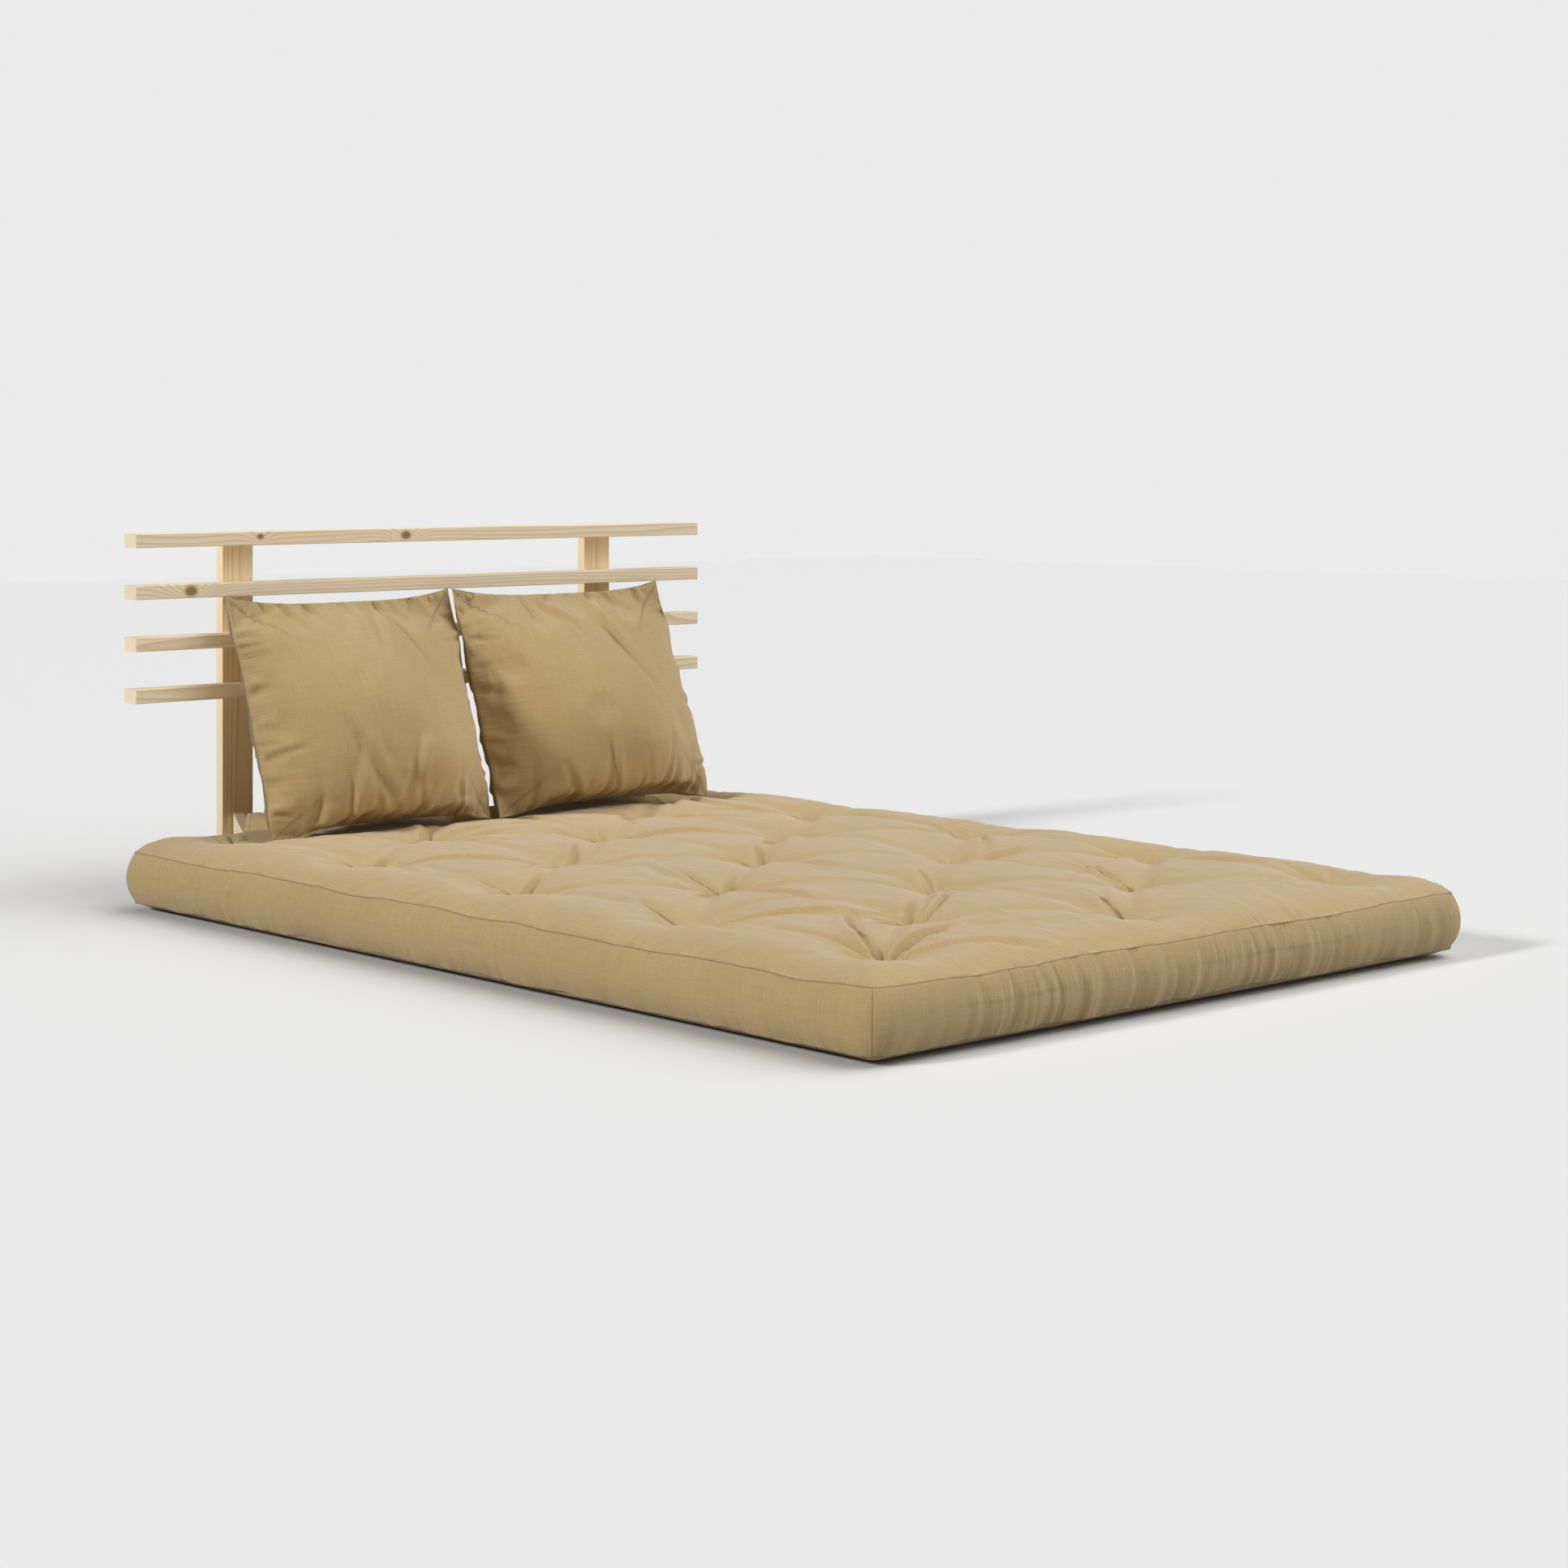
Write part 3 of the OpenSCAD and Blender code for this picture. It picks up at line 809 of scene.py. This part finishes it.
def cushion_panels(count):
    """Two square panels joined along their edges, in units from -1 to 1. Returns the points as
    (across, side, up), the faces, and for each point: 1 on the seam, the cloth coordinates, the
    place along the nearest edge, and how strongly the seam gathers the cloth there."""
    n = count
    points, flat, rim, rib, gather, index, faces = [], [], [], [], [], {}, []
    steps = np.sin(np.linspace(-1, 1, n + 1) * 1.25) / math.sin(1.25)
    for side in (-1, 1):
        for i in range(n + 1):
            for j in range(n + 1):
                edge = i in (0, n) or j in (0, n)
                key = (i, j, 0 if edge else side)
                if key in index:
                    continue
                index[key] = len(points)
                u, v = steps[i], steps[j]
                points.append((u, 0 if edge else side, v))
                flat.append((u * 0.27 + 2 * side, v * 0.25, 0))
                rim.append(1.0 if edge else 0.0)
                across = abs(u) > abs(v)
                rib.append((math.copysign(1, u), v * 0.25, side) if across
                           else (u * 0.27, math.copysign(1, v), side))
                near, far = max(abs(u), abs(v)), min(abs(u), abs(v))
                gather.append(math.exp(-(1 - near) * 6) * (1 - far ** 6))

    def at(i, j, side):
        return index[i, j, 0 if i in (0, n) or j in (0, n) else side]

    for i in range(n):
        for j in range(n):
            quad = [(i, j), (i + 1, j), (i + 1, j + 1), (i, j + 1)]
            faces.append([at(*c, -1) for c in quad])
            faces.append([at(*c, 1) for c in reversed(quad)])
    return np.array(points), faces, np.array(rim), np.array(flat), np.array(rib), np.array(gather)


def cushion_form(points, corners, seed):
    """The full cushion in place: sides straight, head and foot drawn in between pointed corners,
    most of its fullness in front and low down, where the filling has sunk."""
    u, side, v = points.T
    drawn = 0.085 * (1 - np.abs(u) ** 3.5) * np.abs(v) ** 3
    up = (v * (1 - drawn) + 1) / 2
    bottom, top = corners
    wobble = 0.0025 * noise(v + seed, u * 0.2, 0.22, 60) * np.abs(u) ** 8
    x_low = bottom[0] + (bottom[1] - bottom[0]) * (u + 1) / 2
    x_high = top[0] + (top[1] - top[0]) * (u + 1) / 2
    x = x_low + (x_high - x_low) * up + wobble
    sunk = np.clip(v + 0.28 * (1 - v * v), -1, 1)
    across = np.clip(np.cos(math.pi / 2 * u), 0, 1)
    tall = np.clip(np.cos(math.pi / 2 * sunk), 0, 1)
    full = 0.22 * across ** 0.38 + 0.78 * across ** 0.85
    front = full * tall ** (0.50 + 0.40 * smooth_step(up))
    dome = np.where(side < 0, front, (across * tall) ** 0.46)
    uneven = 1 + 0.09 * noise(u, v, 0.62, 61 + seed) + 0.03 * noise(u, v, 0.25, 63 + seed)
    out = side * dome * uneven * np.where(side < 0, CUSHION_FRONT, CUSHION_BACK)
    forward = (x - (bottom[0] + bottom[1]) / 2) * math.tan(CUSHION_YAW)
    along = up * SEAM_HEIGHT
    y = SEAM_FOOT[0] + along * math.sin(LEAN) + out * math.cos(LEAN) + forward
    sag = CUSHION_SAG * np.where(side < 0, dome, 0) * (1 - up)
    z = SEAM_FOOT[1] + along * math.cos(LEAN) - out * math.sin(LEAN) - sag
    return np.stack([x, y, z], 1)


def rest_cushion(co):
    """Presses a cushion flat where it meets the mattress below and the slats behind."""
    x, y, z = co.T
    soft = 0.004
    bed = CROWN - 0.0005 - trough(x, y)
    z = bed + soft * np.logaddexp(0, (z - bed) / soft)
    y = SLAT_FACE - soft * np.logaddexp(0, (SLAT_FACE - y) / soft)
    return np.stack([x, y, z], 1)


def edge_folds(points, seed):
    """Folds square to a cushion's edges, as (place along, distance in) against each of its sides."""
    generator = np.random.default_rng(seed)
    u, v = points[:, 0], points[:, 1]
    height = np.zeros(len(points))
    sides = ((u, 1 + v, 12, 0.42), (u, 1 - v, 9, 0.34), (v, 1 + u, 7, 0.18), (v, 1 - u, 7, 0.18))
    for along, inward, count, reach in sides:
        for number in range(count):
            place = -0.86 + 1.72 * (number + generator.uniform(0.1, 0.9)) / count
            length = reach * generator.uniform(0.5, 1.9)
            width = generator.uniform(0.020, 0.038)
            depth = generator.uniform(0.0030, 0.0080)
            lean = generator.uniform(-0.35, 0.35)
            side = along - place - lean * inward
            fade = np.clip(1 - inward / length, 0, 1) ** 0.8 * smooth_step(inward / 0.05)
            height += depth * fade * pleat(side, width, 0.7, 2.0, 1.5)
    for number in range(5):
        start = np.array([generator.uniform(-0.55, 0.65), generator.choice((-0.8, 0.95))])
        heading = generator.normal(0, 0.30) + (0.35 if start[1] > 0 else 0)
        length = generator.uniform(0.55, 1.05)
        run = (v - start[1]) * -np.sign(start[1]) / length
        side = u - start[0] - heading * run * length
        width = generator.uniform(0.030, 0.045)
        fade = np.sin(math.pi * np.clip(run, 0, 1)) ** 0.8
        depth = generator.uniform(0.0035, 0.0060)
        height += depth * fade * pleat(side, width, 0.7, 2.0, 1.6)
    return height


def cushion(name, cover, filling, body, seed, corners):
    """A loose cushion: two sewn panels, wrinkled by simulation, with folds at its seams."""
    points, faces, rim, flat, rib, gather = cushion_panels(72)
    piece = mesh_object(name, cushion_form(points, corners, seed), faces)
    for key, values in (("seam", rim), ("cloth", flat), ("rib", rib), ("gather", gather),
                        ("panel", points)):
        point_attribute(piece, key, values)
    pins = np.where(rim > 0, 1.0, 0.05)
    inflate(piece, 20, 0.3, 0.016, 0.35, pins)
    subdivide(piece)
    co = coordinates(piece)
    u, side, v = read_attribute(piece, "panel", 3).T
    mesh = piece.data
    normals = np.zeros(len(mesh.vertices) * 3, np.float32)
    mesh.vertex_normals.foreach_get("vector", normals)
    fold = edge_folds(np.stack([u, v], 1), 50 + seed)
    co += normals.reshape(-1, 3) * (fold * np.clip(np.abs(side) * 1.2, 0, 1))[:, None]
    set_coordinates(piece, rest_cushion(co))
    # Painted shade along the seam: the darkened band is narrowed towards the seam itself.
    seam = read_attribute(piece, "seam")
    point_attribute(piece, "seam", np.clip(seam * 1.5 - 0.5, 0, 1))
    shade_smooth(piece)
    piece.data.materials.append(canvas_material(name + "_canvas", seed * 1.7))
    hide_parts(cover, filling)
    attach(piece, body)


# ---------------------------------------------------------------- wooden frame and inner parts

def paint(name, material):
    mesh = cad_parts[name].data
    mesh.materials.clear()
    mesh.materials.append(material)


def paint_frame():
    slat_knots = {
        1: [((-0.055, 0.6865), 0.015, 2), ((-0.40, 0.690), 0.010, 2)],
        2: [((-0.555, 0.5885), 0.018, 2)],
        3: [((0.52, 0.4905), 0.012, 2)],
        4: [((-0.30, 0.3925), 0.011, 2)],
    }
    for number in range(1, 5):
        low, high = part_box(f"slat_{number}")
        pith = (high.y + 0.010 * number, low.z - 0.012 * (number % 3))
        paint(f"slat_{number}", pine_material(f"pine_slat_{number}", 0, pith, number * 1.3,
                                              slat_knots[number], tint=(1.14, 1.15, 1.15)))
    for number, name in enumerate(("post_left", "post_right")):
        low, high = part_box(name)
        pith = ((low.x + high.x) / 2 + 0.02, high.y + 0.05)
        paint(name, pine_material("pine_" + name, 2, pith, 7.1 + number * 2.2,
                                  tint=(1.10, 1.06, 0.97)))
    for number, name in enumerate(("foot_left", "foot_right")):
        low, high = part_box(name)
        pith = ((low.x + high.x) / 2, high.z + 0.03)
        paint(name, pine_material("pine_" + name, 1, pith, 11.4 + number * 1.9))
    for number, name in enumerate(("brace_left", "brace_right")):
        low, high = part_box(name)
        pith = ((low.x + high.x) / 2 + 0.03, high.z + 0.02)
        paint(name, pine_material("pine_" + name, 1, pith, 15.2 + number))
    steel = steel_material()
    for name in ("slat_screws", "foot_screws", "brace_screws"):
        paint(name, steel)
    foam = foam_material()
    for half in ("rear", "front"):
        paint(f"foam_core_{half}", foam)


add_camera()
add_stage()
bpy.context.scene.view_settings.view_transform = "Standard"
paint_frame()
mattress()
cushion("cushion_left", "cushion_cover_left", "cushion_filling_left", "cushion_left", 1,
        ((-0.513, 0.010), (-0.504, 0.037)))
cushion("cushion_right", "cushion_cover_right", "cushion_filling_right", "cushion_right", 2,
        ((0.013, 0.584), (0.030, 0.591)))
